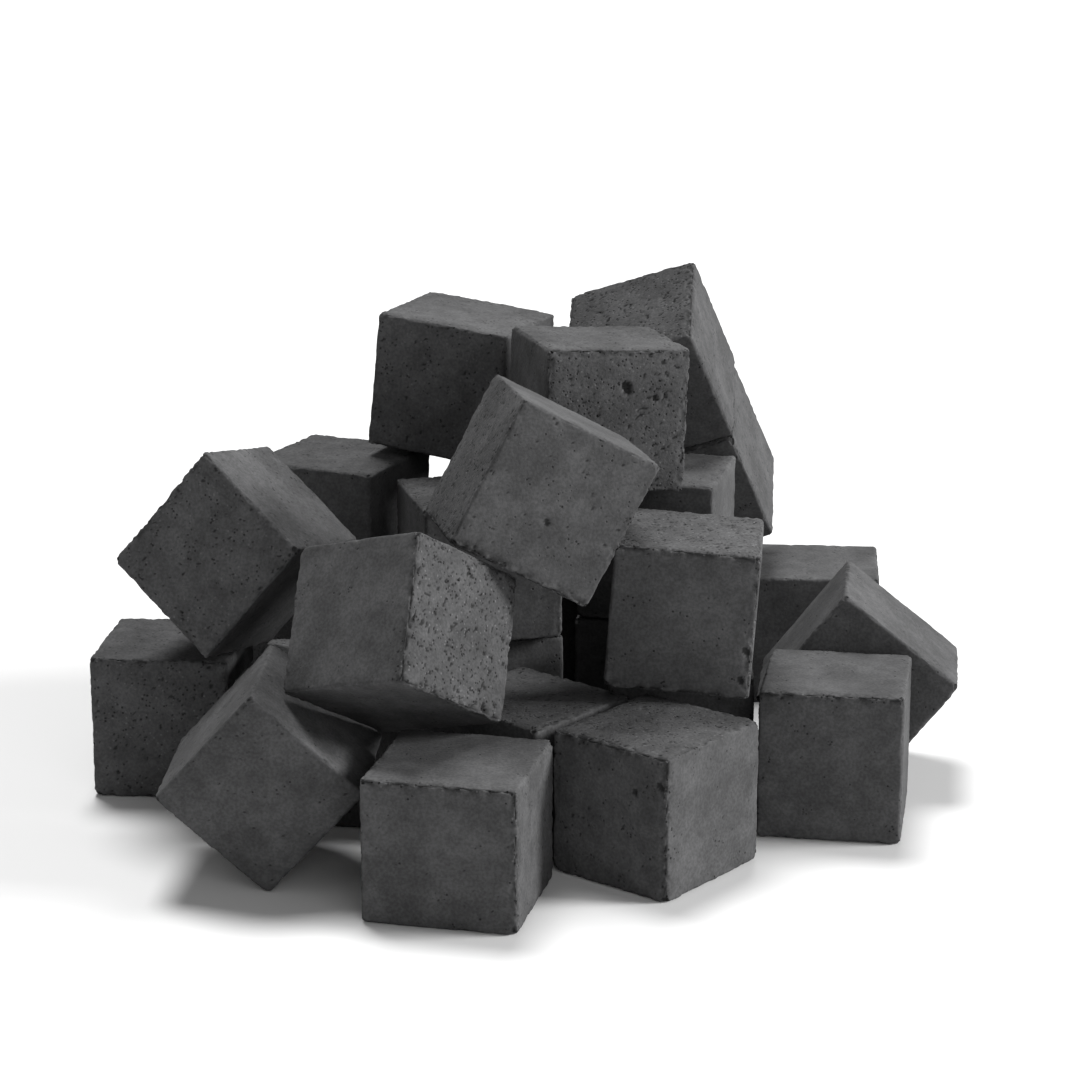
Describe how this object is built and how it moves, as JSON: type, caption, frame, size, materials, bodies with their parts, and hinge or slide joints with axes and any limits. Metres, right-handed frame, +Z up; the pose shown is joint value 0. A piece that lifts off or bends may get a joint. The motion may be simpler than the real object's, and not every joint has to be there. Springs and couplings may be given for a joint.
{
  "type": "heap of charcoal cubes",
  "caption": "Small heap of loose pressed charcoal cubes, stacked three courses high on a flat surface, each cube a separate block.",
  "frame": {"origin": "on the floor under the middle of the heap's bounding box", "axes": "+X to the right and +Z up as seen from the front of the heap; +Y away from the front"},
  "size_m": [0.154, 0.1464, 0.084],
  "materials": {
    "charcoal": "matte pressed charcoal, porous on the broken faces"
  },
  "bodies": {
    "base": {"left_tilted_cube": "charcoal", "inner_front_cube": "charcoal", "inner_right_cube": "charcoal", "inner_left_cube": "charcoal", "center_cube": "charcoal", "rear_center_cube": "charcoal", "rear_left_cube": "charcoal", "rear_middle_cube": "charcoal", "rear_right_cube": "charcoal", "middle_rear_right_cube": "charcoal"},
    "left_outer": {"left_outer_cube": "charcoal"},
    "front_left": {"front_left_cube": "charcoal"},
    "front_corner": {"front_corner_cube": "charcoal"},
    "front_right": {"front_right_cube": "charcoal"},
    "right_tilted": {"right_tilted_cube": "charcoal"},
    "right_rear": {"right_rear_cube": "charcoal"},
    "middle_outer": {"middle_outer_cube": "charcoal"},
    "middle_left": {"middle_left_cube": "charcoal"},
    "middle_right": {"middle_right_cube": "charcoal"},
    "top_front": {"top_front_cube": "charcoal"},
    "middle_core": {"middle_core_cube": "charcoal"},
    "top_left": {"top_left_cube": "charcoal"},
    "top_center": {"top_center_cube": "charcoal"},
    "middle_rear": {"middle_rear_cube": "charcoal"},
    "middle_rear_left": {"middle_rear_left_cube": "charcoal"},
    "leaning_lower": {"leaning_lower_cube": "charcoal"},
    "leaning_upper": {"leaning_upper_cube": "charcoal"}
  },
  "joints": [
    {"name": "left_outer_slide", "type": "slide", "parent": "base", "child": "left_outer", "axis": [-1, 0, 0], "range_m": [0, 0.05]},
    {"name": "front_left_slide", "type": "slide", "parent": "base", "child": "front_left", "axis": [0, -1, 0], "range_m": [0, 0.05]},
    {"name": "front_corner_slide", "type": "slide", "parent": "base", "child": "front_corner", "axis": [0.2873, -0.9578, 0], "range_m": [0, 0.05]},
    {"name": "front_right_slide", "type": "slide", "parent": "base", "child": "front_right", "axis": [0.9578, -0.2873, 0], "range_m": [0, 0.05]},
    {"name": "right_tilted_slide", "type": "slide", "parent": "base", "child": "right_tilted", "axis": [0, 0, 1], "range_m": [0, 0.06]},
    {"name": "right_rear_slide", "type": "slide", "parent": "base", "child": "right_rear", "axis": [1, 0, 0], "range_m": [0, 0.05]},
    {"name": "middle_outer_slide", "type": "slide", "parent": "base", "child": "middle_outer", "axis": [0, 0, 1], "range_m": [0, 0.06]},
    {"name": "middle_left_slide", "type": "slide", "parent": "base", "child": "middle_left", "axis": [-0.6155, -0.6155, 0.4924], "range_m": [0, 0.07]},
    {"name": "middle_right_slide", "type": "slide", "parent": "base", "child": "middle_right", "axis": [0, 0, 1], "range_m": [0, 0.06]},
    {"name": "top_front_slide", "type": "slide", "parent": "middle_right", "child": "top_front", "axis": [0, 0, 1], "range_m": [0, 0.05]},
    {"name": "middle_core_slide", "type": "slide", "parent": "base", "child": "middle_core", "axis": [0, 0, 1], "range_m": [0, 0.06]},
    {"name": "top_left_slide", "type": "slide", "parent": "middle_core", "child": "top_left", "axis": [0, 0, 1], "range_m": [0, 0.05]},
    {"name": "top_center_slide", "type": "slide", "parent": "middle_core", "child": "top_center", "axis": [0, 0, 1], "range_m": [0, 0.05]},
    {"name": "middle_rear_slide", "type": "slide", "parent": "base", "child": "middle_rear", "axis": [0, 1, 0], "range_m": [0, 0.05]},
    {"name": "middle_rear_left_slide", "type": "slide", "parent": "base", "child": "middle_rear_left", "axis": [-1, 0, 0], "range_m": [0, 0.05]},
    {"name": "leaning_lower_slide", "type": "slide", "parent": "base", "child": "leaning_lower", "axis": [0, 0, 1], "range_m": [0, 0.06]},
    {"name": "leaning_upper_slide", "type": "slide", "parent": "leaning_lower", "child": "leaning_upper", "axis": [0, 0, 1], "range_m": [0, 0.05]}
  ]
}
